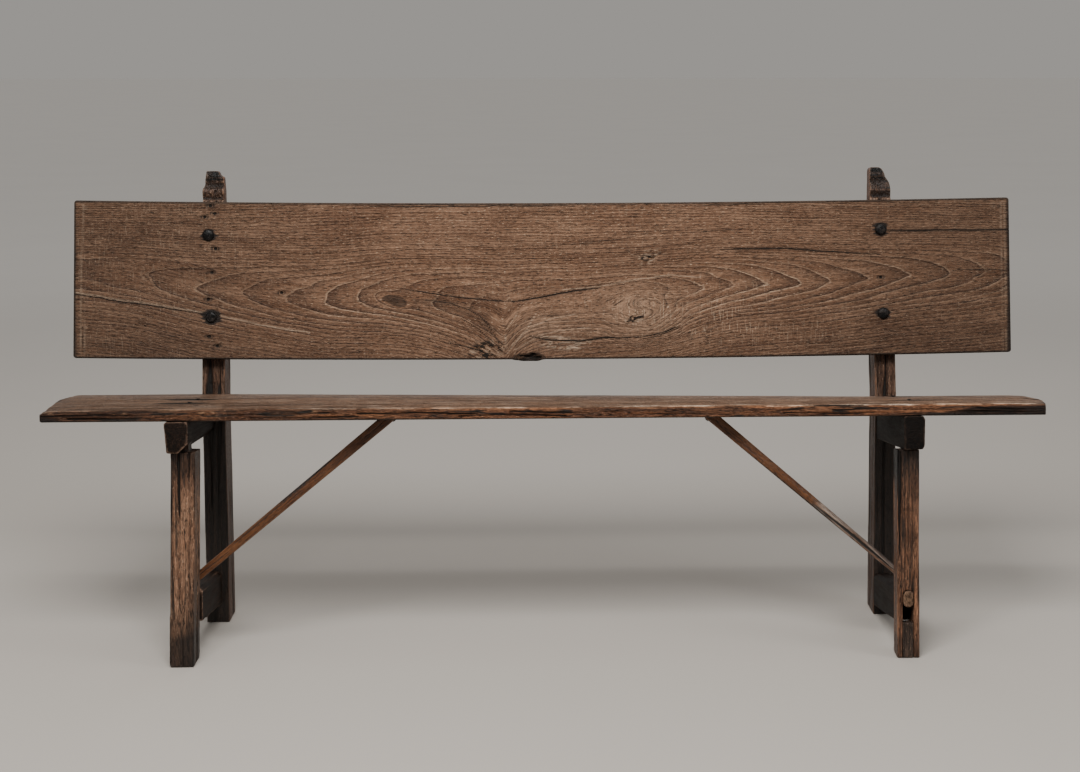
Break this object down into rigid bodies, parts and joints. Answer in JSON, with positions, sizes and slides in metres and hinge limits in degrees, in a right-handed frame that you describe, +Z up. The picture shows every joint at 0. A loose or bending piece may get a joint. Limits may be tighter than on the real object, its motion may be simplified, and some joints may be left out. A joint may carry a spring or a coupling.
{
  "type": "bench",
  "caption": "Long plain wooden bench: a thick seat plank and one wide back plank on two leaning pegged trestle ends with thin diagonal braces.",
  "frame": {"origin": "on the floor, under the middle of the bench's overall box", "axes": "+X along the bench to the sitter's left hand, which is the viewer's right from the front, -Y to the front, +Z up"},
  "size_m": [1.821, 0.4044, 0.8669],
  "materials": {
    "seat_wood": "bare old wood, worn and rubbed",
    "back_wood": "bare old wood with a dull wax",
    "frame_wood": "bare old wood, dark and dry",
    "rail_wood": "hewn wood, darkened",
    "brace_wood": "later batten, orange brown",
    "strip_wood": "greyed wood",
    "peg_wood": "bare wood",
    "nail_iron": "forged, black with age"
  },
  "bodies": {
    "root": {"seat_plank": "seat_wood", "back_plank": "back_wood", "rear_post_left": "frame_wood", "front_leg_left": "frame_wood", "seat_bearer_left": "rail_wood", "side_stretcher_left": "rail_wood", "brace_left": "brace_wood", "back_nail_left_lower": "nail_iron", "back_nail_left_upper": "nail_iron", "seat_nail_left_front": "nail_iron", "seat_nail_left_rear": "nail_iron", "brace_foot_nail_left": "nail_iron", "brace_head_nail_left": "nail_iron", "peg_leg_head_left": "peg_wood", "peg_bearer_post_left": "peg_wood", "peg_stretcher_post_left": "peg_wood", "peg_stretcher_leg_left": "peg_wood", "rear_post_right": "frame_wood", "front_leg_right": "frame_wood", "seat_bearer_right": "rail_wood", "side_stretcher_right": "rail_wood", "brace_right": "brace_wood", "back_nail_right_lower": "nail_iron", "back_nail_right_upper": "nail_iron", "seat_nail_right_front": "nail_iron", "seat_nail_right_rear": "nail_iron", "brace_foot_nail_right": "nail_iron", "brace_head_nail_right": "nail_iron", "peg_leg_head_right": "peg_wood", "peg_bearer_post_right": "peg_wood", "peg_stretcher_post_right": "peg_wood", "peg_stretcher_leg_right": "peg_wood", "leg_repair_strip_right": "strip_wood"}
  },
  "joints": []
}
